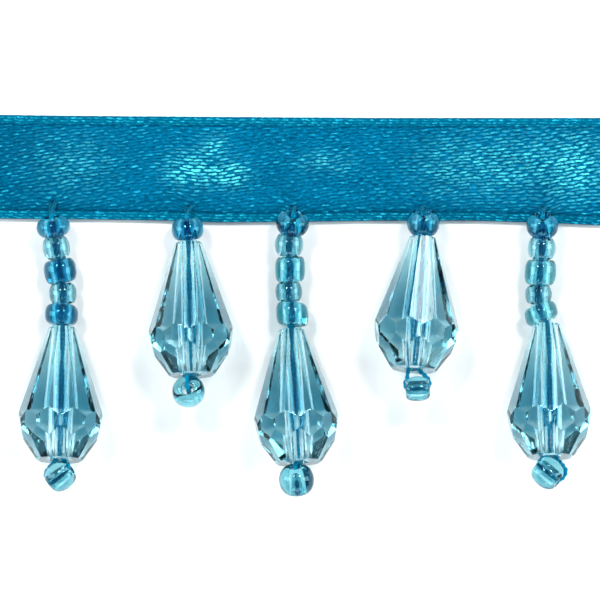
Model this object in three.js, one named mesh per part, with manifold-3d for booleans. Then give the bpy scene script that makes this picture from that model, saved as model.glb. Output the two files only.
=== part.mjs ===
// Beaded fringe trim: a cut length of satin ribbon with five beaded drops sewn to its lower edge.
// Millimetres. X runs along the ribbon, the drops point to -Y, and the trim lies on Z = 0, face up.
// The origin is under the middle of the trim's outline.

import * as THREE from "three";
import { mergeVertices } from "three/addons/utils/BufferGeometryUtils.js";
import Module from "manifold-3d";

const wasm = await Module();
wasm.setup();

// Ribbon
const HALF_LENGTH = 29.5;
const RIBBON_THICK = 1.0;
const RIBBON_COLUMNS = 50;
const EDGE_ROWS = [
  { x: -29.5, top: 18.2, bottom: 8.25 },
  { x: -21.6, top: 18.1, bottom: 8.2 },
  { x: -14.4, top: 18.05, bottom: 8.1 },
  { x: -7.2, top: 18.0, bottom: 7.9 },
  { x: -0.5, top: 17.95, bottom: 7.95 },
  { x: 7.7, top: 17.9, bottom: 8.05 },
  { x: 16.3, top: 17.9, bottom: 8.05 },
  { x: 22.1, top: 17.9, bottom: 7.9 },
  { x: 29.5, top: 17.9, bottom: 7.6 },
];
// Each row across the ribbon: its share of the width from the lower edge, and its share of the thickness.
const ACROSS = [
  { share: 0.0, thick: 0.6 },
  { share: 0.035, thick: 0.95 },
  { share: 0.075, thick: 0.85 },
  { share: 0.12, thick: 1.0 },
  { share: 0.22, thick: 1.0 },
  { share: 0.34, thick: 1.0 },
  { share: 0.46, thick: 1.0 },
  { share: 0.58, thick: 1.0 },
  { share: 0.7, thick: 1.0 },
  { share: 0.82, thick: 1.0 },
  { share: 0.925, thick: 0.85 },
  { share: 0.965, thick: 0.95 },
  { share: 1.0, thick: 0.6 },
];
// Soft swellings where the satin stands off the surface.
const SWELLS = [
  { x: -10.2, y: 13.4, long: 2.6, wide: 2.2, high: 0.34 },
  { x: -6.4, y: 13.0, long: 1.7, wide: 1.8, high: 0.26 },
  { x: 2.6, y: 13.6, long: 2.4, wide: 1.5, high: 0.2 },
  { x: 14.6, y: 13.2, long: 3.2, wide: 2.6, high: 0.3 },
  { x: 23.0, y: 12.6, long: 3.4, wide: 2.6, high: 0.36 },
];
// The first bead of a drop presses the lower edge down to this share of its thickness.
const PRESSED = 0.4;
const PRESS_LONG = 1.5;
const PRESS_WIDE = 1.3;

// Beads
const BORE = 1.2;
const GAP = 0.3;
const SEED_WIDE = { deep: 3.2, mid: 3.1, light: 3.2, clear: 2.7, stop: 2.8 };
const SEED_COLOURS = {
  deep: "#1f6f96",
  mid: "#4fa3b8",
  light: "#7cc4cc",
  clear: "#a3cdd4",
  stop: "#5fb3c6",
};
const STOP_LONG = 2.1;
const SEED_SIDES = 14;
// Section of a seed bead: out from the bore wall to the widest point, and along from the middle to the end.
const SEED_SECTION = [
  { out: 0.0, along: -0.88 },
  { out: 0.34, along: -1.0 },
  { out: 0.8, along: -0.76 },
  { out: 1.0, along: -0.34 },
  { out: 1.0, along: 0.34 },
  { out: 0.8, along: 0.76 },
  { out: 0.34, along: 1.0 },
  { out: 0.0, along: 0.88 },
];
const SEEDS = [
  { drop: 1, kind: "deep", x: -23.7, y: 7.45, z: 2.05, long: 1.55 },
  { drop: 1, kind: "clear", x: -23.4, y: 5.45, z: 1.85, long: 1.65 },
  { drop: 1, kind: "deep", x: -23.05, y: 3.22, z: 1.64, long: 2.05 },
  { drop: 1, kind: "clear", x: -22.8, y: 1.05, z: 1.64, long: 1.55 },
  { drop: 1, kind: "deep", x: -22.85, y: -0.94, z: 1.75, long: 1.65 },
  { drop: 2, kind: "deep", x: -10.8, y: 7.25, z: 2.05, long: 1.75 },
  { drop: 3, kind: "deep", x: -0.75, y: 7.89, z: 2.32, long: 1.75 },
  { drop: 3, kind: "clear", x: -1.0, y: 5.73, z: 1.95, long: 1.75 },
  { drop: 3, kind: "mid", x: -0.98, y: 3.42, z: 1.66, long: 2.1 },
  { drop: 3, kind: "clear", x: -1.05, y: 1.22, z: 1.64, long: 1.5 },
  { drop: 3, kind: "mid", x: -0.85, y: -0.9, z: 1.75, long: 2.0 },
  { drop: 4, kind: "deep", x: 11.85, y: 7.81, z: 2.32, long: 1.8 },
  { drop: 5, kind: "deep", x: 23.25, y: 7.6, z: 2.3, long: 1.8 },
  { drop: 5, kind: "clear", x: 23.2, y: 5.4, z: 1.95, long: 1.75 },
  { drop: 5, kind: "light", x: 23.1, y: 3.12, z: 1.66, long: 2.1 },
  { drop: 5, kind: "clear", x: 23.0, y: 0.98, z: 1.64, long: 1.45 },
  { drop: 5, kind: "light", x: 23.2, y: -0.83, z: 1.75, long: 1.3 },
];

// Teardrops
const FACETS = 10;
const GIRDLE_WIDE = 8.1;
const TOP_WIDE = 2.6;
const WAIST_WIDE = 6.75;
const END_WIDE = 2.5;
const GIRDLE_AT = 8.45;
const WAIST_AT = 11.0;
const END_AT = 12.75;
const MOUTH_WIDE = 2.0;
const MOUTH_DEEP = 0.5;
const MOUTH_PAST = 0.1;
// x and y are the middle of the upper end. lean turns the drop in plan, rise lifts its heavy end, and roll
// turns it about its own length.
const TEARDROPS = [
  { drop: 1, x: -22.8, y: -2.25, lean: -0.8, rise: 12.0, roll: 3 },
  { drop: 2, x: -10.7, y: 5.9, lean: 1.7, rise: 11.5, roll: -2 },
  { drop: 3, x: -0.85, y: -2.5, lean: 3.4, rise: 12.0, roll: 3 },
  { drop: 4, x: 11.8, y: 6.42, lean: -4.3, rise: 11.0, roll: 9 },
  { drop: 5, x: 23.7, y: -1.95, lean: 1.0, rise: 12.0, roll: 0 },
];

// Stop beads hang under the teardrops. turn and tip aim the bore: turn in the plane of the trim, tip upward.
const STOP_BELOW = 2.1;
const STOPS = [
  { drop: 1, turn: 32, tip: 12 },
  { drop: 2, turn: 100, tip: 72 },
  { drop: 3, turn: 100, tip: 52 },
  { drop: 4, turn: 3, tip: 0 },
  { drop: 5, turn: -36, tip: 10 },
];

// Thread
const THREAD_WIDE = 0.3;
const LOOP_WIDE = 0.24;
const STITCH_RADIUS = 0.2;
const STITCH_LONG = 1.0;
// Half of the loop round a stop bead, as seen with the bore level: out along the bore, up to the teardrop.
const HALF_LOOP = [
  { out: 0.85, up: 0.05 },
  { out: 1.4, up: 0.4 },
  { out: 1.52, up: 0.95 },
  { out: 1.25, up: 1.5 },
];
const LOOP_MOUTH = { out: 0.36, up: 2.08 };
const LOOP_ROOT = { out: 0.09, up: 2.95 };

const radians = THREE.MathUtils.degToRad;
const solid = (geometry) => {
  const plain = geometry.index ? geometry.toNonIndexed() : geometry.clone();
  plain.deleteAttribute("normal");
  plain.deleteAttribute("uv");
  const merged = mergeVertices(plain, 1e-4);
  return new wasm.Manifold(
    new wasm.Mesh({
      numProp: 3,
      vertProperties: new Float32Array(merged.attributes.position.array),
      triVerts: new Uint32Array(merged.index.array),
    })
  );
};

const surface = (manifold) => {
  const mesh = manifold.getMesh();
  const geometry = new THREE.BufferGeometry();
  const places = new THREE.BufferAttribute(new Float32Array(mesh.vertProperties), mesh.numProp);
  geometry.setAttribute("position", places);
  geometry.setIndex(new THREE.BufferAttribute(new Uint32Array(mesh.triVerts), 1));
  return geometry;
};

// A value between the rows of a table, eased so that the line through them has no corners.
const between = (rows, x, column) => {
  let i = rows.findIndex((row) => row.x >= x);
  i = Math.min(Math.max(i, 1), rows.length - 1);
  const share = (x - rows[i - 1].x) / (rows[i].x - rows[i - 1].x);
  const eased = THREE.MathUtils.smoothstep(share, 0, 1) * 0.5 + share * 0.5;
  return THREE.MathUtils.lerp(rows[i - 1][column], rows[i][column], eased);
};

const hump = (distance, reach) => Math.exp(-((distance / reach) ** 2));

const firstSeeds = SEEDS.filter((seed, i) => i === 0 || SEEDS[i - 1].drop !== seed.drop);

// The ribbon's underside height and its thickness at a place.
const liftAt = (x, y) => {
  const lift = SWELLS.reduce(
    (sum, swell) => sum + swell.high * hump(x - swell.x, swell.long) * hump(y - swell.y, swell.wide),
    0
  );
  return Math.max(lift - 0.02, 0);
};

const thicknessAt = (x, y, share) => {
  const edge = between(EDGE_ROWS, x, "bottom");
  const pressed = firstSeeds.reduce(
    (most, seed) => Math.max(most, hump(x - seed.x, PRESS_LONG) * hump(y - edge, PRESS_WIDE)),
    0
  );
  const rest = share.thick * RIBBON_THICK;
  return THREE.MathUtils.lerp(rest, Math.min(rest, PRESSED * RIBBON_THICK), Math.min(pressed * 1.3, 1));
};

const ribbonTopAt = (x, y) => liftAt(x, y) + RIBBON_THICK;

const ribbonGeometry = () => {
  const places = [];
  const triangles = [];
  const rows = ACROSS.length;
  for (let i = 0; i <= RIBBON_COLUMNS; i += 1) {
    const x = THREE.MathUtils.lerp(-HALF_LENGTH, HALF_LENGTH, i / RIBBON_COLUMNS);
    const low = between(EDGE_ROWS, x, "bottom");
    const high = between(EDGE_ROWS, x, "top");
    for (const share of ACROSS) {
      const y = THREE.MathUtils.lerp(low, high, share.share);
      const under = liftAt(x, y);
      places.push(x, y, under + thicknessAt(x, y, share), x, y, under);
    }
  }
  const upper = (i, j) => 2 * (i * rows + j);
  const lower = (i, j) => upper(i, j) + 1;
  const quad = (a, b, c, d) => triangles.push(a, b, c, a, c, d);
  for (let i = 0; i < RIBBON_COLUMNS; i += 1) {
    for (let j = 0; j < rows - 1; j += 1) {
      quad(upper(i, j), upper(i + 1, j), upper(i + 1, j + 1), upper(i, j + 1));
      quad(lower(i, j), lower(i, j + 1), lower(i + 1, j + 1), lower(i + 1, j));
    }
    quad(lower(i, 0), lower(i + 1, 0), upper(i + 1, 0), upper(i, 0));
    quad(upper(i, rows - 1), upper(i + 1, rows - 1), lower(i + 1, rows - 1), lower(i, rows - 1));
  }
  for (let j = 0; j < rows - 1; j += 1) {
    const last = RIBBON_COLUMNS;
    quad(lower(0, j + 1), lower(0, j), upper(0, j), upper(0, j + 1));
    quad(lower(last, j), lower(last, j + 1), upper(last, j + 1), upper(last, j));
  }
  const geometry = new THREE.BufferGeometry();
  geometry.setAttribute("position", new THREE.Float32BufferAttribute(places, 3));
  geometry.setIndex(triangles);
  return geometry;
};

// A seed bead about its own Y, the bore's direction.
const seedGeometry = (wide, long) => {
  const reach = (wide - BORE) / 2;
  const section = SEED_SECTION.map(
    (row) => new THREE.Vector2(BORE / 2 + row.out * reach, (row.along * long) / 2)
  );
  return new THREE.LatheGeometry([...section, section[0]], SEED_SIDES);
};

// A faceted frustum about Y from depth a down to depth b. widths are measured across opposite edges.
const facetedCone = (wideTop, wideEnd, from, to, turn) => {
  const cone = new THREE.CylinderGeometry(wideTop / 2, wideEnd / 2, to - from, FACETS);
  cone.rotateY(turn);
  cone.translate(0, -(from + to) / 2, 0);
  return solid(cone);
};

// A teardrop hanging down its own -Y from its upper end, one facet square to +Z.
const teardropGeometry = () => {
  const half = Math.PI / FACETS;
  const across = 1 / Math.cos(half);
  const spread = (GIRDLE_WIDE - TOP_WIDE) / GIRDLE_AT;
  const narrowing = (GIRDLE_WIDE - WAIST_WIDE) / (WAIST_AT - GIRDLE_AT);
  const closing = (WAIST_WIDE - END_WIDE) / (END_AT - WAIST_AT);
  const long = facetedCone(TOP_WIDE, TOP_WIDE + spread * END_AT, 0, END_AT, half);
  const upperRow = facetedCone(
    (GIRDLE_WIDE + narrowing * GIRDLE_AT) * across,
    (GIRDLE_WIDE - narrowing * (END_AT - GIRDLE_AT)) * across,
    0,
    END_AT,
    0
  );
  const lowerRow = facetedCone(WAIST_WIDE + closing * WAIST_AT, END_WIDE, 0, END_AT, half);
  const bore = new THREE.CylinderGeometry(BORE / 2, BORE / 2, END_AT + 2, 12);
  bore.translate(0, -END_AT / 2, 0);
  const mouth = new THREE.CylinderGeometry(BORE / 2, MOUTH_WIDE / 2 + MOUTH_PAST, MOUTH_DEEP + 0.2, 12);
  mouth.translate(0, -(END_AT - MOUTH_DEEP / 2 + 0.1), 0);
  return surface(long.intersect(upperRow).intersect(lowerRow).subtract(solid(bore)).subtract(solid(mouth)));
};

// A square thread along a smooth line through the points.
const strand = (points, wide, steps) => {
  const half = wide / 2;
  const section = new THREE.Shape([
    new THREE.Vector2(-half, -half),
    new THREE.Vector2(half, -half),
    new THREE.Vector2(half, half),
    new THREE.Vector2(-half, half),
  ]);
  const path = new THREE.CatmullRomCurve3(points, false, "centripetal");
  return solid(new THREE.ExtrudeGeometry(section, { steps, bevelEnabled: false, extrudePath: path }));
};

// The frame of a piece whose own -Y runs along a direction, rolled about it.
const aimed = (place, direction, roll = 0) => {
  const back = direction.clone().negate();
  const side = new THREE.Vector3().crossVectors(back, new THREE.Vector3(0, 0, 1)).normalize();
  const face = new THREE.Vector3().crossVectors(side, back);
  const matrix = new THREE.Matrix4().makeBasis(side, back, face);
  matrix.multiply(new THREE.Matrix4().makeRotationY(roll));
  return matrix.setPosition(place);
};

const trim = new THREE.Group();

const add = (name, geometry, colour, roughness, matrix) => {
  const material = new THREE.MeshStandardMaterial({ color: colour, roughness, metalness: 0 });
  const mesh = new THREE.Mesh(geometry, material);
  mesh.name = name;
  if (matrix) {
    matrix.decompose(mesh.position, mesh.quaternion, mesh.scale);
  }
  trim.add(mesh);
  return mesh;
};

// The lowest point of a shape once it is in its frame.
const lowest = (geometry, matrix) => {
  const place = geometry.attributes.position;
  const point = new THREE.Vector3();
  let least = Infinity;
  for (let i = 0; i < place.count; i += 1) {
    least = Math.min(least, point.fromBufferAttribute(place, i).applyMatrix4(matrix).z);
  }
  return least;
};

add("ribbon", ribbonGeometry(), "#0079a8", 0.35);

for (const row of TEARDROPS) {
  const seeds = SEEDS.filter((seed) => seed.drop === row.drop);
  const rise = radians(row.rise);
  const lean = radians(row.lean);
  const down = new THREE.Vector3(
    Math.sin(lean) * Math.cos(rise),
    -Math.cos(lean) * Math.cos(rise),
    Math.sin(rise)
  );

  const drop = teardropGeometry();
  const frame = aimed(new THREE.Vector3(row.x, row.y, 0), down, radians(row.roll));
  const top = new THREE.Vector3(row.x, row.y, -lowest(drop, frame));
  frame.setPosition(top);
  add(`teardrop_${row.drop}`, drop, "#8fcfe0", 0.08, frame);

  const [first] = seeds;
  const stitchAt = first.y + first.long / 2 + GAP + STITCH_LONG / 2 + STITCH_RADIUS;
  const stitchHeight = ribbonTopAt(first.x, stitchAt) + GAP + STITCH_RADIUS;
  const stitch = new THREE.Vector3(first.x, stitchAt, stitchHeight);
  const middles = seeds.map((seed) => new THREE.Vector3(seed.x, seed.y, seed.z));
  const line = [stitch, ...middles, top];
  seeds.forEach((seed, i) => {
    const along = line[i + 2].clone().sub(line[i]).normalize();
    const shape = seedGeometry(SEED_WIDE[seed.kind], seed.long);
    add(`seed_${seed.drop}_${i + 1}`, shape, SEED_COLOURS[seed.kind], 0.12, aimed(middles[i], along));
  });

  const stop = STOPS.find((entry) => entry.drop === row.drop);
  const end = top.clone().addScaledVector(down, END_AT);
  const middle = end.clone().addScaledVector(down, STOP_BELOW);
  const turn = radians(stop.turn);
  const tip = radians(stop.tip);
  const bore = new THREE.Vector3(
    Math.cos(turn) * Math.cos(tip),
    Math.sin(turn) * Math.cos(tip),
    Math.sin(tip)
  );
  const up = down.clone().negate();
  const square = up.clone().addScaledVector(bore, -up.dot(bore)).normalize();
  add(
    `stop_${row.drop}`,
    seedGeometry(SEED_WIDE.stop, STOP_LONG),
    SEED_COLOURS.stop,
    0.12,
    aimed(middle, bore)
  );

  const acrossBore = bore.clone().addScaledVector(up, -bore.dot(up)).normalize();
  const halfLoop = (side) => {
    const round = HALF_LOOP.map((entry) =>
      middle.clone().addScaledVector(bore, side * entry.out).addScaledVector(square, entry.up)
    ).filter((point) => point.clone().sub(middle).dot(up) < STOP_BELOW - 0.4);
    const home = [LOOP_MOUTH, LOOP_ROOT].map((entry) =>
      middle.clone().addScaledVector(acrossBore, side * entry.out).addScaledVector(up, entry.up)
    );
    return [...round, ...home];
  };
  const loop = strand([...halfLoop(-1).reverse(), middle, ...halfLoop(1)], LOOP_WIDE, 34);
  const inner = end.clone().addScaledVector(up, 0.7);
  const run = strand([stitch, ...middles, top, inner], THREAD_WIDE, 22);
  const stitches = [-1, 1].map((side) => {
    const bar = new THREE.CapsuleGeometry(STITCH_RADIUS, STITCH_LONG, 2, 6);
    bar.translate(side * STITCH_RADIUS * 0.95, 0, 0);
    bar.translate(stitch.x, stitch.y + 0.1, stitch.z);
    return solid(bar);
  });
  const thread = run.add(loop).add(stitches[0]).add(stitches[1]);
  add(`thread_${row.drop}`, surface(thread), "#0a5f92", 0.6);
}

// The outline's middle comes over the origin.
trim.updateMatrixWorld(true);
const outline = new THREE.Box3().setFromObject(trim, true);
trim.position.set(-(outline.min.x + outline.max.x) / 2, -(outline.min.y + outline.max.y) / 2, 0);

export default trim;
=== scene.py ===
import math
import random

import bmesh
import bpy
import numpy as np
from mathutils import Matrix, Vector


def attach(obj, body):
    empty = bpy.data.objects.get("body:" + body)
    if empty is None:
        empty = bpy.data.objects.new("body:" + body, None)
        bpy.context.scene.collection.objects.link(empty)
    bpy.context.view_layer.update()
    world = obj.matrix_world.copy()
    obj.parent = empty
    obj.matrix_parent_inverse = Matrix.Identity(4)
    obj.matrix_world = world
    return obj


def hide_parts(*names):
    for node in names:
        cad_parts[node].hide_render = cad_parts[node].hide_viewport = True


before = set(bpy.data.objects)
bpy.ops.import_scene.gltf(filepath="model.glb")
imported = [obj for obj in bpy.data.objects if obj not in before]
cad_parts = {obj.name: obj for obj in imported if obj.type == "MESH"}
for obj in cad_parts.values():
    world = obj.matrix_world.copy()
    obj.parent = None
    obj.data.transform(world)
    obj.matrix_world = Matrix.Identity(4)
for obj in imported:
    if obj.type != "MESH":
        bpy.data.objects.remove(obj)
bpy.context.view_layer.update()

# Lengths are millimetres, as in the part's source, until a mesh is made.
MM = 0.001
# Moves the outline's middle to y = 0, as the part's source does
SHIFT_Y = 0.123

# Ribbon
HALF_LENGTH = 29.5
FLAT_WIDTH = 10.1
SATIN_THICK = 0.36
RIBBON_COLUMNS = 620
RIBBON_ROWS = 140
UNDER_ROWS = 4
# Outline: x, upper edge, lower edge
EDGE_ROWS = [
    (-29.5, 18.27, 8.25),
    (-21.6, 18.17, 8.2),
    (-14.4, 18.12, 8.1),
    (-7.2, 18.07, 7.9),
    (-0.5, 18.02, 7.95),
    (7.7, 17.97, 8.05),
    (16.3, 17.97, 8.05),
    (22.1, 17.97, 7.9),
    (29.5, 17.97, 7.6),
]
# Soft swells off the ground: x, y, reach along, reach across, height
SWELLS = [
    (-10.2, 13.4, 2.6, 2.2, 0.34),
    (-6.4, 13.0, 1.7, 1.8, 0.26),
    (2.6, 13.6, 2.4, 1.5, 0.2),
    (14.6, 13.2, 3.2, 2.6, 0.3),
    (23.0, 12.6, 3.4, 2.6, 0.36),
]
# The lower edge rests a little higher, and higher still over the first bead of each drop
LOWER_LIFT = 0.3
LOWER_REACH = 2.2
BEAD_LIFT = 0.12
BEAD_REACH = (1.5, 1.4)
# A faint crease across the upper part: x, how narrow, height, where it begins
CREASE_AT = 18.8
CREASE_NARROW = 0.16
CREASE_HIGH = 0.06
CREASE_FROM = 13.8
# Dimples at the stitches, and the pull on the rows above them: amount, distance, reach
HOLE_DEEP = 0.16
HOLE_REACH = (0.36, 0.28)
PULL = 0.4
PULL_ABOVE = 0.3
PULL_REACH = (1.1, 1.2)
# Satin floats: tilt of the rows, length, row spacing, shift from row to row, height
WEAVE_TILT = math.radians(6.5)
FLOAT_LONG = 1.15
FLOAT_PITCH = 0.325
FLOAT_STEP = 0.54
FLOAT_HIGH = 0.05
ROW_JOG = 0.13
ROW_SPREAD = 12.99
# Weave coordinates are stored small, so that they stay within the texture square
WEAVE_SCALE = 0.01
# Selvedge band along both edges, the groove beside it, and its slanted cords
BAND = 0.78
GROOVE = 0.16
CORD_PITCH = 0.27
CORD_LONG = 1.05
CORD_SLANT = 1.2
CORD_HIGH = 0.03
CORD_STEP = 0.43
# Painted highlight patches on the satin: x, y, reach along, reach across, strength.
PAINTED_HIGHLIGHTS = [
    (-10.6, 12.9, 1.9, 1.4, 0.95),
    (-6.9, 12.6, 1.6, 1.1, 0.95),
    (-8.4, 15.2, 1.2, 1.0, 0.6),
    (2.4, 13.7, 2.2, 0.8, 0.35),
    (-22.0, 13.4, 3.5, 2.4, 0.22),
    (14.5, 13.2, 3.0, 2.2, 0.25),
    (21.0, 13.6, 6.0, 2.8, 0.36),
    (26.8, 13.2, 2.4, 2.8, 0.5),
]
# The thread comes through the ribbon here: drop, x, y.
HOLES = [
    (1, -23.75, 9.75),
    (2, -10.65, 9.35),
    (3, -0.7, 9.3),
    (4, 11.85, 9.3),
    (5, 23.4, 9.25),
]

# Satin colours: the cloth's own tones, and the lit, glow, dark and groove colours that also paint
# highlights and shade
BODY_DEEP = (0.0, 0.077, 0.172, 1)
BODY_FULL = (0.0, 0.11, 0.235, 1)
BODY_PALE = (0.0, 0.195, 0.38, 1)
BODY_DARK = (0.0, 0.028, 0.07, 1)
PAINTED_SHINE = (0.02, 0.54, 0.78, 1)
HIGHLIGHT_GLOW = (0.13, 1.0, 1.0, 1)
BAND_BODY = (0.0, 0.12, 0.205, 1)
GROOVE_SHADE = (0.0, 0.026, 0.065, 1)
CLOTH_GLOSS = (0.0, 0.7, 1.0, 1)

# Beads: bores, then drop, kind, middle x y z, width, length and how much the ends slant
BORE = 1.25
DROP_BORE = 1.6
SEEDS = [
    (1, "deep", -23.69, 7.45, 2.05, 3.25, 1.86, 0.0),
    (1, "clear", -23.40, 5.45, 1.85, 2.62, 2.12, 0.0),
    (1, "deep", -23.04, 3.22, 1.64, 3.15, 2.28, 0.03),
    (1, "clear", -22.77, 1.05, 1.64, 2.72, 2.0, 0.0),
    (1, "deep", -22.9, -0.96, 1.75, 3.3, 1.94, -0.04),
    (2, "deep", -10.80, 7.22, 2.05, 3.2, 2.08, 0.0),
    (3, "deep", -0.72, 7.8, 2.32, 3.2, 2.1, 0.0),
    (3, "clear", -1.05, 5.73, 1.95, 2.8, 2.12, 0.0),
    (3, "mid", -0.95, 3.40, 1.66, 2.96, 2.4, 0.04),
    (3, "clear", -1.08, 1.22, 1.64, 2.6, 1.92, 0.0),
    (3, "mid", -0.75, -0.93, 1.75, 3.1, 2.25, -0.12),
    (4, "deep", 11.83, 7.81, 2.32, 3.15, 2.3, 0.0),
    (5, "deep", 23.25, 7.58, 2.3, 3.1, 2.15, 0.0),
    (5, "clear", 23.21, 5.40, 1.95, 2.72, 2.1, 0.0),
    (5, "light", 23.09, 3.10, 1.66, 3.12, 2.4, 0.04),
    (5, "clear", 22.9, 0.95, 1.64, 2.6, 1.84, 0.0),
    (5, "light", 23.15, -0.87, 1.75, 3.3, 1.74, 0.08),
]
# A bead's section by kind: how square it is, where 1 is an ellipse and less is squarer,
# and how thick the part next to the bore is, which sets how far the outside rounds over.
SECTION = {
    "first": (1.0, 0.16),
    "deep": (0.86, 0.3),
    "mid": (0.8, 0.34),
    "light": (0.8, 0.34),
    "clear": (1.0, 0.16),
    "stop": (0.98, 0.17),
}
STOP_BORE = 1.05
SEED_SIDES = 40
SEED_STEPS = 24
BORE_SIDES = 48
BLOCK = 40

# Teardrops: widths across opposite corners, and depths from the upper end.
FACETS = 10
FACET_TURN = math.pi / FACETS
GIRDLE_WIDE = 8.1
TOP_WIDE = 2.6
WAIST_WIDE = 7.0
END_WIDE = 4.4
GIRDLE_AT = 8.45
WAIST_AT = 11.0
END_AT = 12.9
# How steeply the long upper facets slope
LONG_SLOPE = math.cos(FACET_TURN) * (GIRDLE_WIDE - TOP_WIDE) / 2 / GIRDLE_AT
EDGE_SOFT = 0.025
SHARP = math.radians(9)
# Drop, x and y of its upper end, then lean, rise and roll in degrees
TEARDROPS = [
    (1, -22.8, -2.25, -0.8, 12.0, 3),
    (2, -10.7, 5.9, 1.7, 11.5, -2),
    (3, -0.85, -2.5, 3.4, 12.0, 3),
    (4, 11.8, 6.42, -4.3, 11.0, 6),
    (5, 23.7, -1.95, 1.0, 12.0, 0),
]
# How far the first bead's upper end tips up, by drop
FIRST_TIP = {1: 0.1, 2: 0.12, 3: 0.5, 4: 0.42, 5: 0.35}
# Least height of beads and thread over the ground
FLOOR_GAP = 0.03

# Stop beads: middle in plan, the bore's turn and tip, width and length.
STOPS = {
    1: (-22.89, -16.4, 38, 12, 2.8, 2.5),
    2: (-10.65, -8.3, 104, 74, 3.15, 2.5),
    3: (-0.33, -16.75, 96, 22, 3.4, 2.75),
    4: (11.23, -8.05, 3, 0, 2.45, 2.3),
    5: (23.68, -16.1, -40, 10, 3.0, 2.7),
}

# Glass and acrylic: surface tint, colour left by depth, density of that colour
TEARDROP_LOOK = ((0.7, 0.97, 1.0, 1), (0.15, 0.66, 0.76, 1), 110)
DEEP_LOOK = ((0.015, 0.45, 0.65, 1), (0.02, 0.64, 0.77, 1), 400)
MID_LOOK = ((0.26, 0.76, 0.86, 1), (0.1, 0.74, 0.8, 1), 280)
LIGHT_LOOK = ((0.29, 0.71, 0.8, 1), (0.15, 0.8, 0.82, 1), 230)
CLEAR_LOOK = ((0.26, 0.61, 0.7, 1), (0.25, 0.78, 0.82, 1), 180)
STOP_LOOK = ((0.235, 0.56, 0.64, 1), (0.1, 0.78, 0.85, 1), 240)
ACRYLIC_IOR = 1.5
GLASS_IOR = 1.52
GLOSS = (0.5, 0.88, 1.0, 1)
DEEP_GLOSS = (0.2, 0.8, 1.0, 1)
MOULD_WAVES = 0.02
# Painted shade and light along the drop, as bands of tint: where each starts, where it is full, colour
ACRYLIC_SHADE_BANDS = [
    (0.12, 0.58, (0.4, 0.7, 0.8, 1)),
    (0.65, 0.68, (0.95, 1.0, 1.0, 1)),
]

# Thread: two strands of two plies. The strands are wider apart near both ends
STRAND_OFF = 0.19
STRAND_APART = 0.05
PLY_OFF = 0.095
PLY_THICK = 0.13
STRAND_TURN = 11.0
UNTWISTED = 5.5
PLY_TURN = 0.95
PLY_SIDES = 8
PLY_STEP = 0.075
PLY_PHASE = 0.6
STRAND_STEP = 0.4
CURVE_STEPS = 24
# Reach and amount of the parting at the ribbon, then the last shared place and the way out
PARTING = 1.2
ROOT_APART = 0.07
LAST_IN = 0.8
EXIT_APART = 0.5
# The thread comes up from inside the ribbon and over its face
ROOT_DEEP = 0.25
RISE_BACK = 0.05
RISE_HIGH = 0.2
# Thread colours, and the y between which painted shade and painted highlights set in outside the beads
THREAD_DEEP = (0.0, 0.05, 0.13, 1)
THREAD_FULL = (0.0, 0.42, 0.7, 1)
THREAD_SHADE = (0.0, 0.025, 0.085, 1)
THREAD_LIT = (0.03, 0.62, 0.85, 1)
THREAD_OUT = (8.6, 9.0)

# Camera: millimetres in a pixel, the frame in pixels, and the row where y is 0 before the shift
PIXEL = 0.096
PHOTO_WIDE = 600
PHOTO_MIDDLE = 300
ZERO_ROW = 304.5
FRAME_WIDE = PHOTO_WIDE * PIXEL
# Camera, lamps and floor in metres, the sensor in millimetres
CAMERA_HIGH = 0.6
FOCUS_HIGH = 0.002
SENSOR = 36.0
WHITE = (1, 1, 1)
PANEL_COLOUR = (0.84, 0.98, 1.0)
CARD_COLOUR = (1.0, 0.68, 0.6)
CARD_DROP = 4
CARD_SIZE = 0.075
CARD_POWER = 0.27
CARD_AWAY = 0.5
# Lamps and panels: name, place, width, height or None if round, watts, colour
LIGHTS = [
    ("lamp_left", (-0.26, 0.34, 0.66), 0.15, None, 2.6, WHITE),
    ("lamp_right", (0.26, 0.34, 0.66), 0.15, None, 2.6, WHITE),
    ("panel_left", (-1.2, 0.1, 0.5), 0.5, 1.2, 13.0, PANEL_COLOUR),
    ("panel_right", (1.2, 0.1, 0.5), 0.5, 1.2, 13.0, PANEL_COLOUR),
    ("panel_near", (0, -1.15, 0.5), 1.2, 0.5, 9.0, WHITE),
]
WORLD_COLOUR = (0.8, 0.85, 0.9, 1)
WORLD_STRENGTH = 0.28
FLOOR_HALF = 1.5
FLOOR_BELOW = 0.00002
PAPER_DARK = (0.93, 0.93, 0.93, 1)
PAPER_PALE = (0.95, 0.95, 0.95, 1)


def between(rows, x, column):
    """A table's value at x, eased as in the part's source."""
    x = np.asarray(x, dtype=float)
    xs = np.array([row[0] for row in rows])
    values = np.array([row[column] for row in rows])
    i = np.clip(np.searchsorted(xs, x), 1, len(xs) - 1)
    share = (x - xs[i - 1]) / (xs[i] - xs[i - 1])
    t = np.clip(share, 0, 1)
    eased = t * t * (3 - 2 * t) * 0.5 + share * 0.5
    return values[i - 1] + (values[i] - values[i - 1]) * eased


def fract(x):
    """What is left of a number after its whole part."""
    return x - np.floor(x)


def piece(name, places, faces, material, uvs=None):
    """A smooth mesh object from places in millimetres, with texture places for each vertex."""
    mesh = bpy.data.meshes.new(name)
    moved = np.array(places, dtype=float)
    moved[:, 1] += SHIFT_Y
    mesh.from_pydata((moved * MM).tolist(), [], faces)
    mesh.polygons.foreach_set("use_smooth", [True] * len(mesh.polygons))
    for layer_name, values in (uvs or {}).items():
        layer = mesh.uv_layers.new(name=layer_name)
        corner = np.empty(len(mesh.loops), dtype=np.int32)
        mesh.loops.foreach_get("vertex_index", corner)
        layer.data.foreach_set("uv", np.asarray(values, dtype=np.float32)[corner].ravel())
    mesh.materials.append(material)
    mesh.validate()
    obj = bpy.data.objects.new(name, mesh)
    bpy.context.collection.objects.link(obj)
    return obj


def settle(obj, slot, *nodes):
    """Put a piece under the root body and hide the node that it replaces; the slot is not used."""
    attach(obj, "root")
    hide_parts(*nodes)


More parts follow.
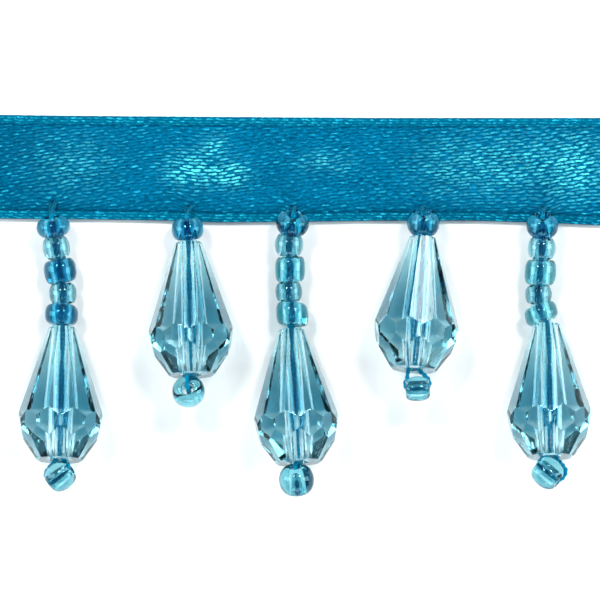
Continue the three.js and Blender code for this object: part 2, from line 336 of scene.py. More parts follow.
class Shader:
    """A material's node tree, with short calls for its nodes."""

    def __init__(self, name):
        self.material = bpy.data.materials.new(name)
        self.material.use_nodes = True
        self.tree = self.material.node_tree
        self.tree.nodes.clear()
        self.out = self.tree.nodes.new("ShaderNodeOutputMaterial")

    def node(self, kind, inputs=None, **settings):
        made = self.tree.nodes.new("ShaderNode" + kind)
        for key, value in settings.items():
            setattr(made, key, value)
        for key, value in (inputs or {}).items():
            self.put(made.inputs[key], value)
        return made

    def put(self, socket, value):
        if isinstance(value, bpy.types.NodeSocket):
            self.tree.links.new(value, socket)
        else:
            socket.default_value = value

    def math(self, operation, a, b=0.0, c=0.0):
        made = self.node("Math", {0: a, 1: b, 2: c}, operation=operation)
        return made.outputs[0]

    def times(self, a, b):
        return self.math("MULTIPLY", a, b)

    def times_plus(self, a, b, c):
        return self.math("MULTIPLY_ADD", a, b, c)

    def arch(self, value):
        """A half wave that rises and falls once while the value goes from 0 to 1."""
        return self.math("SINE", self.times(value, math.pi))

    def point(self, x, y, z=0.0):
        return self.node("CombineXYZ", {0: x, 1: y, 2: z}).outputs[0]

    def parts(self, kind, source):
        """The outputs of a node that separates a vector or a colour."""
        return self.node(kind, {0: source}).outputs

    def uv(self, layer):
        return self.node("UVMap", None, uv_map=layer).outputs[0]

    def mix(self, factor, a, b):
        made = self.node("Mix", None, data_type="RGBA")
        self.put(made.inputs[0], factor)
        self.put(made.inputs[6], a)
        self.put(made.inputs[7], b)
        return made.outputs[2]

    def smooth(self, value, low, high, to_low=0.0, to_high=1.0):
        made = self.node(
            "MapRange",
            {"Value": value, "From Min": low, "From Max": high, "To Min": to_low, "To Max": to_high},
            interpolation_type="SMOOTHSTEP",
        )
        return made.outputs[0]

    def place(self, scale):
        """Object coordinates in millimetres, stretched by scale."""
        coordinates = self.node("TexCoord").outputs["Object"]
        made = self.node("Mapping", {"Vector": coordinates, "Scale": [1000 * s for s in scale]})
        return made.outputs[0]

    def noise(self, vector, scale, detail=2.0, roughness=0.5):
        made = self.node(
            "TexNoise", {"Vector": vector, "Scale": scale, "Detail": detail, "Roughness": roughness}
        )
        return made.outputs[0]

    def bump(self, height, distance, strength=1.0):
        made = self.node("Bump", {"Height": height, "Distance": distance * MM, "Strength": strength})
        return made.outputs[0]

    def principled(self, inputs):
        made = self.node("BsdfPrincipled", inputs)
        self.tree.links.new(made.outputs[0], self.out.inputs["Surface"])
        return made


def glass(name, tint, absorb, density, ior, gloss=GLOSS, shade_bands=None):
    """Clear glass or acrylic: tinted surface, a little colour in depth, and faint moulding waves.

    With shade bands, painted shade and light change the tint along the piece, and single facets are
    painted paler, or darker below the girdle.
    """
    s = Shader(name)
    flow = s.noise(s.place((1.2, 0.35, 1.2)), 1.0, 3.0, 0.55)
    fine = s.noise(s.place((6, 6, 6)), 1.0, 2.0)
    height = s.times_plus(flow, 1.0, s.times(fine, 0.08))
    wear = s.smooth(fine, 0.58, 0.75, 0.02, 0.07)
    paler = [c + (1 - c) * 0.3 for c in tint[:3]] + [1]
    colour = s.mix(s.smooth(flow, 0.35, 0.7), tint, paler)
    if shade_bands:
        split = s.parts("SeparateXYZ", s.uv("along"))
        along = s.times_plus(fine, 0.03, s.math("ADD", split[0], -0.015))
        # Painted shade and light along the piece
        for start, stop, band in shade_bands:
            colour = s.mix(s.smooth(along, start, stop), colour, band)
        facet = split[1]
        # Single facets painted paler, as painted light
        colour = s.mix(s.smooth(facet, 0.5, 1.0, 0.0, 0.85), colour, (1.0, 1.0, 1.0, 1))
        # Single facets below the girdle painted darker, as painted shade
        lower = s.times(s.smooth(along, 0.62, 0.68), s.smooth(facet, 0.5, 0.0, 0.0, 0.5))
        colour = s.mix(lower, colour, shade_bands[0][2])
    s.principled(
        {
            "Base Color": colour,
            "Transmission Weight": 1.0,
            "Roughness": wear,
            "IOR": ior,
            "Specular Tint": gloss,
            "Normal": s.bump(height, MOULD_WAVES),
        }
    )
    volume = s.node("VolumeAbsorption", {"Color": absorb, "Density": density})
    s.tree.links.new(volume.outputs[0], s.out.inputs["Volume"])
    return s.material


def near(x, y, cx, cy, along, across):
    """One at a place, falling off softly along and across the ribbon."""
    return np.exp(-(((x - cx) / along) ** 2)) * np.exp(-(((y - cy) / across) ** 2))


def weave_at(x, y, place_y):
    """The weave's own coordinates on the flat ribbon: along the floats and across them.

    The rows bend a little, and more where a thread pulls at them.
    """
    bent = y + 0.09 * np.sin(0.23 * x + 0.45 * y + 1.0) + 0.05 * np.sin(0.61 * x - 0.35 * y + 2.2)
    bent = bent + 0.02 * np.sin(2.3 * x + 1.3 * y)
    for _, hole_x, hole_y in HOLES:
        bent = bent + PULL * near(x, place_y, hole_x, hole_y + PULL_ABOVE, *PULL_REACH)
    tilt = WEAVE_TILT * (1 - 0.25 * np.sin(0.11 * x + 0.6))
    u = x + bent * math.sin(WEAVE_TILT)
    tilt = tilt - math.radians(10) * np.exp(-(((x + 10.4) / 1.7) ** 2))
    v = bent - np.cumsum(np.tan(tilt) * np.gradient(x, axis=0), axis=0)
    return u, v


def weave_relief(x, y, u, v):
    """Height of the satin floats, the selvedge cords and the groove at a place on the flat ribbon."""
    row = np.floor(v / FLOAT_PITCH)
    ridge = np.sin(math.pi * fract(v / FLOAT_PITCH))
    step = row * FLOAT_STEP + ROW_JOG * np.sin(row * ROW_SPREAD)
    dash = np.sin(math.pi * fract(u / FLOAT_LONG + step))
    satin = ridge ** 0.8 * (0.2 + 0.8 * dash ** 0.7)
    from_edge = np.minimum(y, FLAT_WIDTH - y)
    cord_row = np.floor(y / CORD_PITCH)
    cord = np.sin(math.pi * fract(y / CORD_PITCH))
    cord = cord * np.sin(math.pi * fract((x + CORD_SLANT * y) / CORD_LONG + cord_row * CORD_STEP))
    in_band = np.clip((BAND - from_edge) / 0.08, 0, 1)
    relief = satin * FLOAT_HIGH * (1 - in_band) + cord * CORD_HIGH * in_band
    groove = np.exp(-(((from_edge - BAND - 0.05) / GROOVE) ** 2))
    edge = np.exp(-((from_edge / 0.12) ** 2))
    return relief - 0.06 * groove - 0.12 * edge + 0.03 * in_band


def lift_at(x, y):
    """Height of the soft swells under the ribbon."""
    lift = np.zeros_like(x)
    for cx, cy, long, wide, high in SWELLS:
        lift += high * near(x, y, cx, cy, long, wide)
    return np.maximum(lift - 0.02, 0)


def ribbon_faces():
    """Faces of the ribbon's relief, its plain back, both long edges and both cut ends."""
    rows = RIBBON_ROWS + 1
    first_below = rows * (RIBBON_COLUMNS + 1)

    def upper(i, j):
        return i * rows + j

    def lower(i, j):
        return first_below + i * (UNDER_ROWS + 1) + j

    faces = []
    for i in range(RIBBON_COLUMNS):
        for j in range(RIBBON_ROWS):
            faces.append((upper(i, j), upper(i + 1, j), upper(i + 1, j + 1), upper(i, j + 1)))
        for j in range(UNDER_ROWS):
            faces.append((lower(i, j), lower(i, j + 1), lower(i + 1, j + 1), lower(i + 1, j)))
        faces.append((lower(i, 0), lower(i + 1, 0), upper(i + 1, 0), upper(i, 0)))
        faces.append(
            (upper(i, rows - 1), upper(i + 1, rows - 1), lower(i + 1, UNDER_ROWS), lower(i, UNDER_ROWS))
        )
    for i, turned in ((0, False), (RIBBON_COLUMNS, True)):
        ring = [upper(i, j) for j in range(rows)] + [lower(i, j) for j in range(UNDER_ROWS, -1, -1)]
        faces.append(tuple(reversed(ring)) if turned else tuple(ring))
    return faces


def make_ribbon(material):
    """The satin ribbon: a finely divided sheet with its weave in relief."""
    xs = np.linspace(-HALF_LENGTH, HALF_LENGTH, RIBBON_COLUMNS + 1)
    shares = np.linspace(0, 1, RIBBON_ROWS + 1)
    x, share = np.meshgrid(xs, shares, indexing="ij")
    low = between(EDGE_ROWS, x, 2)
    high = between(EDGE_ROWS, x, 1)
    y = low + (high - low) * share
    lift = lift_at(x, y)
    crease = np.exp(-(((x - CREASE_AT) / CREASE_NARROW) ** 2))
    fold = CREASE_HIGH * crease * np.clip((y - CREASE_FROM) / 2.0, 0, 1)
    under = lift + fold + LOWER_LIFT * np.exp(-(((y - low) / LOWER_REACH) ** 2))
    for drop, *_ in TEARDROPS:
        first = next(seed for seed in SEEDS if seed[0] == drop)
        under += BEAD_LIFT * near(x, y, first[2], low, *BEAD_REACH)
    flat_y = share * FLAT_WIDTH
    u, v = weave_at(x, flat_y, y)
    # Dimples at the stitches; the same mask paints shade into them
    hole = np.zeros_like(x)
    for _, hole_x, hole_y in HOLES:
        hole += near(x, y, hole_x, hole_y, *HOLE_REACH)
    # Painted highlight patches
    highlight_patch = np.zeros_like(x)
    for cx, cy, along, across, strength in PAINTED_HIGHLIGHTS:
        highlight_patch += strength * near(x, y, cx, cy, along, across)
    z = under + SATIN_THICK + weave_relief(x, flat_y, u, v) - HOLE_DEEP * hole
    top = np.stack([x, y, z], axis=-1).reshape(-1, 3)
    uvs = np.stack([(x + HALF_LENGTH) / (2 * HALF_LENGTH), share], axis=-1).reshape(-1, 2)
    weave = np.stack([u, v], axis=-1).reshape(-1, 2) * WEAVE_SCALE

    picks = np.round(np.linspace(0, RIBBON_ROWS, UNDER_ROWS + 1)).astype(int)
    below = np.stack([x[:, picks], y[:, picks], under[:, picks]], axis=-1).reshape(-1, 3)
    below_uvs = uvs.reshape(RIBBON_COLUMNS + 1, RIBBON_ROWS + 1, 2)[:, picks].reshape(-1, 2)
    places = np.concatenate([top, below])
    below_weave = weave.reshape(RIBBON_COLUMNS + 1, RIBBON_ROWS + 1, 2)[:, picks].reshape(-1, 2)
    # First channel: painted highlight patches; second: the dimples, painted with shade
    zones = np.zeros((len(places), 4), dtype=np.float32)
    zones[: len(top), 0] = highlight_patch.ravel()
    zones[: len(top), 1] = hole.ravel()
    uvs = np.concatenate([uvs, below_uvs])
    weave = np.concatenate([weave, below_weave])
    ribbon = piece("satin_ribbon", places, ribbon_faces(), material, uvs={"flat": uvs, "weave": weave})
    marks = ribbon.data.color_attributes.new("zones", "FLOAT_COLOR", "POINT")
    marks.data.foreach_set("color", zones.ravel())
    settle(ribbon, "satin", "ribbon")


def satin_material():
    """Satin weave: floats row by row with painted highlights and shade, painted highlight patches, and
    the two selvedges.
    """
    s = Shader("satin_weave")
    flat = s.parts("SeparateXYZ", s.uv("flat"))
    x = s.times_plus(flat[0], 2 * HALF_LENGTH, -HALF_LENGTH)
    y = s.times(flat[1], FLAT_WIDTH)

    weave = s.parts("SeparateXYZ", s.uv("weave"))
    u = s.math("DIVIDE", weave[0], WEAVE_SCALE)
    v = s.math("DIVIDE", weave[1], WEAVE_SCALE)
    # Painted highlight patches and the dimples' painted shade, stored on the mesh
    zones = s.node("Attribute", None, attribute_name="zones").outputs[0]
    zones = s.parts("SeparateColor", zones)
    highlight_patch, hole = zones[0], zones[1]
    ruffle_at = s.point(s.times(x, 1.5), s.times(y, 2.4))
    ruffle = s.node("TexNoise", {"Vector": ruffle_at, "Scale": 1.0}).outputs[1]
    ruffle = s.parts("SeparateColor", ruffle)
    u = s.times_plus(ruffle[0], 1.1, u)
    v = s.times_plus(ruffle[1], 0.27, v)

    # Rows of floats, and the cells along each row
    rows = s.math("DIVIDE", v, FLOAT_PITCH)
    row = s.math("FLOOR", rows)
    across = s.math("FRACT", rows)
    jog = s.times(s.math("SINE", s.times(row, ROW_SPREAD)), ROW_JOG)
    step = s.times_plus(row, FLOAT_STEP, jog)
    cells = s.math("ADD", s.math("DIVIDE", u, FLOAT_LONG), step)
    cell = s.math("FLOOR", cells)
    along = s.math("FRACT", cells)
    chance = s.node("TexWhiteNoise", {0: s.point(row, cell)})
    parts = s.parts("SeparateColor", chance.outputs[1])
    shift = s.times_plus(parts[0], 0.3, -0.15)
    dash = s.arch(s.math("ADD", along, shift))

    # Fine and broad unevenness
    filament = s.noise(s.point(s.times(u, 0.8), s.times(v, 9.0)), 1.6, 3.0, 0.6)
    spot = s.point(x, s.times(y, 2.2))
    mottle = s.noise(spot, 1.3, 3.0, 0.6)
    grit = s.noise(spot, 3.6, 2.0, 0.6)
    fleck = s.noise(s.point(s.times(u, 1.5), s.times(v, 4.2)), 1.5, 3.0, 0.7)
    cloud = s.noise(s.point(s.times(x, 0.2), s.times(y, 0.4)), 1.0, 2.0, 0.5)

    # Painted light on the floats, painted shade between them, and the body colour
    crest = s.math("SUBTRACT", 1.0, s.math("ABSOLUTE", s.times_plus(across, 2.6, -1.6)))
    broad = s.smooth(crest, 0.0, 0.6)
    crest = s.smooth(crest, 0.15, 0.9)
    blotch = s.smooth(mottle, 0.3, 0.7, 0.4, 1.6)
    uneven = s.times(blotch, s.smooth(grit, 0.35, 0.65, 0.4, 1.35))
    # Painted highlights on the crests of the floats
    bright = s.times(crest, s.smooth(dash, 0.6, 0.95))
    lucky = s.times_plus(s.math("POWER", chance.outputs[0], 1.8), 0.55, 0.04)
    shine = s.times(s.times(bright, lucky), uneven)
    # Painted highlight strokes inside the painted highlight patches
    stroke = s.times(broad, s.smooth(dash, 0.1, 0.8))
    stroke = s.times(stroke, s.times_plus(parts[1], 1.1, 0.38))
    stroke = s.times(s.times(stroke, uneven), highlight_patch)
    # Painted shade on the lower side of each row of floats
    shade = s.math("SUBTRACT", 1.0, s.math("ABSOLUTE", s.times_plus(across, 3.2, -0.45)))
    shade = s.times(s.smooth(shade, 0.1, 0.9), s.smooth(dash, 0.2, 0.9, 0.3, 1.0))
    shade = s.times(shade, s.smooth(mottle, 0.3, 0.7, 1.1, 0.5))
    body = s.mix(s.smooth(cloud, 0.3, 0.7), BODY_DEEP, BODY_FULL)
    body = s.mix(s.smooth(filament, 0.4, 0.75, 0.0, 0.4), body, BODY_PALE)
    body = s.mix(s.smooth(fleck, 0.5, 0.66, 0.0, 1.0), body, BODY_PALE)
    body = s.mix(s.smooth(fleck, 0.34, 0.5, 0.75, 0.0), body, BODY_DARK)
    body = s.mix(s.times(shade, 0.85), body, BODY_DARK)
    low = s.smooth(y, 0.8, 2.6, 0.3, 0.0)
    body = s.mix(low, body, BODY_DARK)
    body = s.mix(s.smooth(x, -29.5, -14.0, 0.3, 0.0), body, BODY_DARK)
    body = s.mix(shine, body, PAINTED_SHINE)
    body = s.mix(s.math("MINIMUM", stroke, 1.0), body, HIGHLIGHT_GLOW)

    # Cords of the selvedges, with painted light and painted highlights on their crests
    from_edge = s.math("MINIMUM", y, s.math("SUBTRACT", FLAT_WIDTH, y))
    band = s.smooth(from_edge, BAND - 0.06, BAND + 0.04, 1.0, 0.0)
    cords = s.math("DIVIDE", y, CORD_PITCH)
    cord_row = s.math("FLOOR", cords)
    slanted = s.times_plus(y, CORD_SLANT, s.times_plus(mottle, 2.4, x))
    cord_cells = s.times_plus(cord_row, CORD_STEP, s.math("DIVIDE", slanted, CORD_LONG))
    cord_pair = s.point(cord_row, s.math("FLOOR", cord_cells), 7.0)
    cord_chance = s.node("TexWhiteNoise", {0: cord_pair}).outputs[0]
    cord_lit = s.times(s.arch(s.math("FRACT", cords)), s.arch(s.math("FRACT", cord_cells)))
    cord_lit = s.times(cord_lit, s.smooth(filament, 0.25, 0.7, 0.5, 1.3))
    cord_lit = s.times(cord_lit, s.smooth(fleck, 0.35, 0.6, 0.4, 1.3))
    cord_shine = s.smooth(cord_lit, 0.3, 0.9)
    cord_shine = s.times(cord_shine, s.smooth(mottle, 0.35, 0.65, 0.2, 1.5))
    cord_shine = s.times(cord_shine, s.smooth(grit, 0.35, 0.65, 0.3, 1.4))
    cord_shine = s.times(cord_shine, s.times_plus(cord_chance, 0.9, 0.2))
    rim = s.smooth(from_edge, 0.04, 0.3, 1.6, 0.8)
    cord_shine = s.times(cord_shine, rim)
    edge_body = s.mix(s.smooth(cord_lit, 0.0, 0.4), BODY_DEEP, BAND_BODY)
    dull = s.smooth(x, -2.0, 16.0, 0.0, 0.25)
    dull = s.times(dull, s.smooth(y, 0.5, 1.5, 1.0, 0.0))
    edge_body = s.mix(dull, edge_body, BODY_DARK)
    edge_body = s.mix(cord_shine, edge_body, PAINTED_SHINE)
    body = s.mix(band, body, edge_body)

    # Painted shade in the grooves beside them and in the dimples
    off = s.math("ABSOLUTE", s.math("SUBTRACT", from_edge, BAND + 0.12))
    groove = s.smooth(off, 0.0, 0.2, 0.75, 0.0)
    groove = s.times(groove, s.smooth(mottle, 0.35, 0.65, 1.0, 0.4))
    body = s.mix(groove, body, GROOVE_SHADE)
    body = s.mix(s.smooth(hole, 0.15, 0.8), body, GROOVE_SHADE)
    height = s.times_plus(filament, 0.5, s.times(bright, 0.5))
    s.principled(
        {
            "Base Color": body,
            "Roughness": s.smooth(filament, 0.3, 0.8, 0.5, 0.66),
            "Anisotropic": 0.5,
            "Specular IOR Level": 0.25,
            "Specular Tint": CLOTH_GLOSS,
            "Sheen Weight": 0.04,
            "Sheen Roughness": 0.4,
            "Sheen Tint": CLOTH_GLOSS,
            "Normal": s.bump(height, 0.04, 0.8),
        }
    )
    return s.material


def thread_material():
    """Twisted thread, with painted shade and painted highlights on its turns where it lies outside the
    beads.
    """
    s = Shader("twisted_thread")
    flat = s.parts("SeparateXYZ", s.uv("flat"))
    turn = s.times_plus(flat[0], 7.0, s.times(flat[1], 2.5))
    wave = s.math("SINE", s.times(turn, 2 * math.pi))
    fuzz = s.noise(s.place((9, 9, 9)), 1.0, 3.0)
    height = s.times_plus(wave, 0.5, fuzz)
    # Stripes along the twist: the fibres' own tone, and painted shade in their dark parts
    tone = s.smooth(s.times_plus(wave, 0.35, fuzz), 0.15, 1.0)
    colour = s.mix(tone, THREAD_DEEP, THREAD_FULL)
    y = s.parts("SeparateXYZ", s.place((1, 1, 1)))[1]
    # Outside the beads: painted shade, then painted highlights on the crests of the turns
    outside = s.smooth(y, *THREAD_OUT)
    colour = s.mix(s.times(outside, 0.85), colour, THREAD_SHADE)
    lit = s.smooth(wave, 0.5, 0.9, 0.0, 0.4)
    colour = s.mix(s.times(outside, lit), colour, THREAD_LIT)
    s.principled(
        {
            "Base Color": colour,
            "Roughness": s.smooth(fuzz, 0.3, 0.7, 0.22, 0.4),
            "Specular IOR Level": 0.5,
            "Specular Tint": CLOTH_GLOSS,
            "Sheen Weight": 0.02,
            "Sheen Roughness": 0.4,
            "Sheen Tint": (0.1, 0.7, 1.0, 1),
            "Normal": s.bump(height, 0.012),
        }
    )
    return s.material


def aimed(place, direction, roll=0.0):
    """The frame of a piece whose own -Y runs along a direction, rolled about it."""
    back = -direction
    side = back.cross(Vector((0, 0, 1))).normalized()
    face = side.cross(back)
    turn = Matrix((side, back, face)).transposed().to_4x4()
    return Matrix.Translation(place) @ turn @ Matrix.Rotation(roll, 4, "Y")


def bead_mesh(wide, long, skew, seed, section, bore):
    """A seed bead about its own Y: a rounded ring with slightly uneven ends."""
    picker = random.Random(seed)
    square, lining = section
    middle = bore / 2 + lining
    phase = picker.uniform(0, 6.28)
    uneven = picker.uniform(0.01, 0.03)
    places, faces = [], []
    for i in range(SEED_SIDES):
        a = 2 * math.pi * i / SEED_SIDES
        for j in range(SEED_STEPS):
            b = 2 * math.pi * j / SEED_STEPS
            c, s = math.cos(b), math.sin(b)
            along = math.copysign(abs(s) ** square, s)
            if c > 0:
                radius = middle + (wide / 2 - middle) * c ** square
                radius += uneven * c * (math.cos(2 * a + phase) - 1)
            else:
                radius = middle - lining * abs(c) ** 0.5
            x, z = radius * math.sin(a), radius * math.cos(a)
            places.append((x, along * long / 2 + skew * x * (0.4 + 0.6 * abs(s)), z))
    for i in range(SEED_SIDES):
        n = (i + 1) % SEED_SIDES
        for j in range(SEED_STEPS):
            m = (j + 1) % SEED_STEPS
            faces.append(
                (
                    i * SEED_STEPS + j,
                    i * SEED_STEPS + m,
                    n * SEED_STEPS + m,
                    n * SEED_STEPS + j,
                )
            )
    return places, faces


def outward(mesh):
    """Turn every face of a closed mesh outwards."""
    bm = bmesh.new()
    bm.from_mesh(mesh)
    bmesh.ops.recalc_face_normals(bm, faces=bm.faces)
    bm.to_mesh(mesh)
    bm.free()


def make_bead(name, wide, long, skew, seed, section, bore, matrix, material, slot, node):
    """A bead in its place, standing for one node."""
    places, faces = bead_mesh(wide, long, skew, seed, section, bore)
    moved = [matrix @ Vector(p) for p in places]
    obj = piece(name, [tuple(p) for p in moved], faces, material)
    outward(obj.data)
    settle(obj, slot, node)


def cut(bm, point, normal):
    """Take off what lies beyond a plane, and close the cut."""
    geometry = bm.verts[:] + bm.edges[:] + bm.faces[:]
    done = bmesh.ops.bisect_plane(
        bm, geom=geometry, plane_co=point, plane_no=normal, clear_outer=True, dist=1e-5
    )
    edges = [e for e in done["geom_cut"] if isinstance(e, bmesh.types.BMEdge)]
    if edges:
        bmesh.ops.contextual_create(bm, geom=edges)


def lathe(profile, sides):
    """A closed turned solid about Y from (radius, y) pairs."""
    places, faces = [], []
    for radius, y in profile:
        for i in range(sides):
            a = 2 * math.pi * i / sides
            places.append((radius * math.sin(a), y, radius * math.cos(a)))
    for k in range(len(profile) - 1):
        for i in range(sides):
            n = (i + 1) % sides
            faces.append((k * sides + i, k * sides + n, (k + 1) * sides + n, (k + 1) * sides + i))
    faces.append(tuple(range(sides - 1, -1, -1)))
    last = (len(profile) - 1) * sides
    faces.append(tuple(last + i for i in range(sides)))
    return places, faces


def teardrop_mesh():
    """The faceted body in its own frame: upper end at the origin, hanging along -Y."""
    across_flats = math.cos(FACET_TURN)
    bm = bmesh.new()
    bmesh.ops.create_cube(bm, size=BLOCK)
    cut(bm, (0, 0, 0), (0, 1, 0))
    cut(bm, (0, -END_AT, 0), (0, -1, 0))
    narrowing = (GIRDLE_WIDE - WAIST_WIDE) / 2 / (WAIST_AT - GIRDLE_AT)
    closing = (WAIST_WIDE - END_WIDE) / 2 / (END_AT - WAIST_AT)
    rows = [
        (0.0, across_flats * TOP_WIDE / 2, LONG_SLOPE),
        (FACET_TURN, GIRDLE_WIDE / 2 + narrowing * GIRDLE_AT, -narrowing),
        (0.0, across_flats * (WAIST_WIDE / 2 + closing * WAIST_AT), -across_flats * closing),
    ]
    for turn, out, slope in rows:
        for k in range(FACETS):
            a = turn + 2 * FACET_TURN * k
            normal = Vector((math.sin(a), slope, math.cos(a)))
            cut(bm, Vector((math.sin(a), 0, math.cos(a))) * out, normal)
    bmesh.ops.remove_doubles(bm, verts=bm.verts, dist=1e-4)
    soften = {"offset": EDGE_SOFT, "segments": 1, "profile": 0.5, "clamp_overlap": True}
    bmesh.ops.bevel(bm, geom=bm.edges[:], affect="EDGES", **soften)
    bmesh.ops.recalc_face_normals(bm, faces=bm.faces)
    body = bpy.data.meshes.new("cut_body")
    bm.to_mesh(body)
    bm.free()
    return bored(body)


def bored(body):
    """The body with its bore drilled from end to end, a little wider at both mouths."""
    radius = DROP_BORE / 2
    profile = [
        (radius + 0.3, 0.5),
        (radius + 0.12, 0.0),
        (radius + 0.04, -0.25),
        (radius, -0.7),
        (radius, -END_AT + 0.8),
        (radius + 0.04, -END_AT + 0.3),
        (radius + 0.12, -END_AT),
        (radius + 0.3, -END_AT - 0.5),
    ]
    places, faces = lathe(profile, BORE_SIDES)
    tool = bpy.data.meshes.new("bore_tool")
    tool.from_pydata(places, [], faces)
    outward(tool)
    body_obj = bpy.data.objects.new("cut_body", body)
    tool_obj = bpy.data.objects.new("bore_tool", tool)
    for obj in (body_obj, tool_obj):
        bpy.context.collection.objects.link(obj)
    drill = body_obj.modifiers.new("bore", "BOOLEAN")
    drill.operation = "DIFFERENCE"
    drill.solver = "EXACT"
    drill.object = tool_obj
    graph = bpy.context.evaluated_depsgraph_get()
    made = bpy.data.meshes.new_from_object(body_obj.evaluated_get(graph))
    bpy.data.objects.remove(body_obj)
    bpy.data.objects.remove(tool_obj)
    return made


def facet_tones(body, seed):
    """A tone from 0 to 1 for every vertex, the same over the whole of one facet."""
    chance = random.Random(seed * 7 + 3)
    tones = [0.5] * len(body.vertices)
    for polygon in sorted(body.polygons, key=lambda p: (p.area, p.center.y, p.center.x)):
        tone = chance.random()
        if math.hypot(polygon.center.x, polygon.center.z) < DROP_BORE * 0.6:
            tone = 0.5
        for index in polygon.vertices:
            tones[index] = tone
    return tones


def curve_through(points, spacing):
    """Places along a centripetal Catmull-Rom line, evenly spaced."""
    points = [Vector(p) for p in points]
    padded = [points[0] * 2 - points[1]] + points + [points[-1] * 2 - points[-2]]
    dense = []
    for i in range(1, len(padded) - 2):
        p0, p1, p2, p3 = padded[i - 1 : i + 3]
        t0 = 0.0
        t1 = t0 + max((p1 - p0).length, 1e-6) ** 0.5
        t2 = t1 + max((p2 - p1).length, 1e-6) ** 0.5
        t3 = t2 + max((p3 - p2).length, 1e-6) ** 0.5
        for k in range(CURVE_STEPS):
            t = t1 + (t2 - t1) * k / CURVE_STEPS
            a1 = p0 * ((t1 - t) / (t1 - t0)) + p1 * ((t - t0) / (t1 - t0))
            a2 = p1 * ((t2 - t) / (t2 - t1)) + p2 * ((t - t1) / (t2 - t1))
            a3 = p2 * ((t3 - t) / (t3 - t2)) + p3 * ((t - t2) / (t3 - t2))
            b1 = a1 * ((t2 - t) / (t2 - t0)) + a2 * ((t - t0) / (t2 - t0))
            b2 = a2 * ((t3 - t) / (t3 - t1)) + a3 * ((t - t1) / (t3 - t1))
            dense.append(b1 * ((t2 - t) / (t2 - t1)) + b2 * ((t - t1) / (t2 - t1)))
    dense.append(points[-1])
    dense = np.array([tuple(p) for p in dense])
    steps = np.linalg.norm(np.diff(dense, axis=0), axis=1)
    reach = np.concatenate([[0], np.cumsum(steps)])
    count = max(int(reach[-1] / spacing), 4)
    at = np.linspace(0, reach[-1], count + 1)
    return np.stack([np.interp(at, reach, dense[:, k]) for k in range(3)], axis=1), at


def frames_along(line):
    """Two unit vectors across the line at each place, carried along it without twist."""
    ahead = np.gradient(line, axis=0)
    ahead /= np.linalg.norm(ahead, axis=1)[:, None]
    side = np.zeros_like(line)
    start = np.cross(ahead[0], (0, 0, 1.0))
    if np.linalg.norm(start) < 1e-3:
        start = np.cross(ahead[0], (1.0, 0, 0))
    side[0] = start / np.linalg.norm(start)
    for i in range(1, len(line)):
        carried = side[i - 1] - ahead[i] * np.dot(side[i - 1], ahead[i])
        side[i] = carried / np.linalg.norm(carried)
    return side, np.cross(ahead, side)


def tube(line, at, thick, sides):
    """A round tube along a line, closed at both ends."""
    side, other = frames_along(line)
    places, faces, uvs = [], [], []
    for i in range(len(line)):
        for j in range(sides):
            a = 2 * math.pi * j / sides
            places.append(line[i] + thick * (math.cos(a) * side[i] + math.sin(a) * other[i]))
            uvs.append((j / sides, at[i]))
    for i in range(len(line) - 1):
        for j in range(sides):
            n = (j + 1) % sides
            faces.append((i * sides + j, i * sides + n, (i + 1) * sides + n, (i + 1) * sides + j))
    faces.append(tuple(range(sides - 1, -1, -1)))
    last = (len(line) - 1) * sides
    faces.append(tuple(last + j for j in range(sides)))
    return places, faces, uvs


def twisted(points, phase):
    """Two plies wound round a line."""
    line, at = curve_through(points, PLY_STEP)
    side, other = frames_along(line)
    parts = []
    for k in (0, math.pi):
        a = 2 * math.pi * at / PLY_TURN + phase + k
        ply = line + PLY_OFF * (np.cos(a)[:, None] * side + np.sin(a)[:, None] * other)
        parts.append(tube(ply, at, PLY_THICK, PLY_SIDES))
    return parts


def joined(parts):
    """Several tubes as one mesh."""
    places, faces, uvs = [], [], []
    for part_places, part_faces, part_uvs in parts:
        base = len(places)
        places += [tuple(p) for p in part_places]
        faces += [tuple(base + i for i in face) for face in part_faces]
        uvs += part_uvs
    return places, faces, uvs


def ribbon_top(x, y):
    """Height of the ribbon's face, without its weave, at one place."""
    x, y = np.array([x]), np.array([y])
    low = between(EDGE_ROWS, x, 2)
    lift = lift_at(x, y) + LOWER_LIFT * np.exp(-(((y - low) / LOWER_REACH) ** 2))
    return float(lift[0]) + SATIN_THICK


def hanging(lean, rise):
    """The direction in which a teardrop points, from its lean and rise in degrees."""
    lean, rise = math.radians(lean), math.radians(rise)
    flat = math.cos(rise)
    return Vector((math.sin(lean) * flat, -math.cos(lean) * flat, math.sin(rise)))


def make_teardrop(row, down, body, material):
    """The faceted piece of one drop, laid on the ground. Returns the place of its upper end."""
    drop, x, y, _, _, roll = row
    frame_at = aimed(Vector((x, y, 0)), down, math.radians(roll))
    moved = [frame_at @ v.co for v in body.vertices]
    top_high = -min(p.z for p in moved)
    places = [(p.x, p.y, p.z + top_high) for p in moved]
    faces = [tuple(p.vertices) for p in body.polygons]
    along = [(-v.co.y / END_AT, tone) for v, tone in zip(body.vertices, facet_tones(body, drop))]
    acrylic = piece(f"faceted_drop_{drop}", places, faces, material, uvs={"along": along})
    acrylic.data.set_sharp_from_angle(angle=SHARP)
    settle(acrylic, "teardrop", f"teardrop_{drop}")
    return Vector((x, y, top_high))


